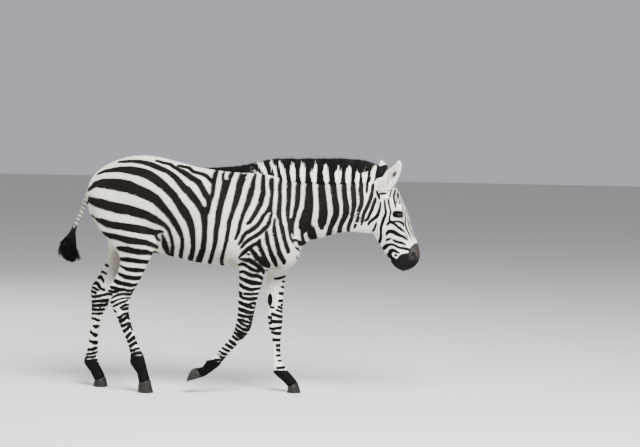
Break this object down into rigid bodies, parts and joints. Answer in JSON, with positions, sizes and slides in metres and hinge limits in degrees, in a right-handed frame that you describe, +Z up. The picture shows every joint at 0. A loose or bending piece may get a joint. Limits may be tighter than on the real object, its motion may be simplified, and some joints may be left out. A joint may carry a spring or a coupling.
{
  "type": "zebra",
  "caption": "Life-size still model of a slim plains zebra walking with its head low, stripes and upright mane, one forefoot lifted.",
  "frame": {"origin": "on the floor, below the middle of the animal's box", "axes": "+Z up, +X towards the head, +Y to the animal's left"},
  "size_m": [2.006, 0.4614, 1.305],
  "materials": {
    "coat": "short striped fur",
    "mane": "coarse upright hair, dark with white stripes at the roots",
    "hoof": "satin dark horn",
    "eye": "wet gloss"
  },
  "bodies": {
    "root": {"trunk": "coat", "neck": "coat", "head": "coat", "ear_right": "coat", "ear_left": "coat", "foreleg_right_upper": "coat", "foreleg_right_lower": "coat", "foreleg_left_upper": "coat", "foreleg_left_lower": "coat", "hindleg_right_upper": "coat", "hindleg_right_lower": "coat", "hindleg_left_upper": "coat", "hindleg_left_lower": "coat", "tail": "coat", "tail_switch": "mane", "mane": "mane", "hoof_fore_right": "hoof", "hoof_fore_left": "hoof", "hoof_hind_right": "hoof", "hoof_hind_left": "hoof", "eye_right": "eye", "eye_left": "eye"}
  },
  "joints": []
}
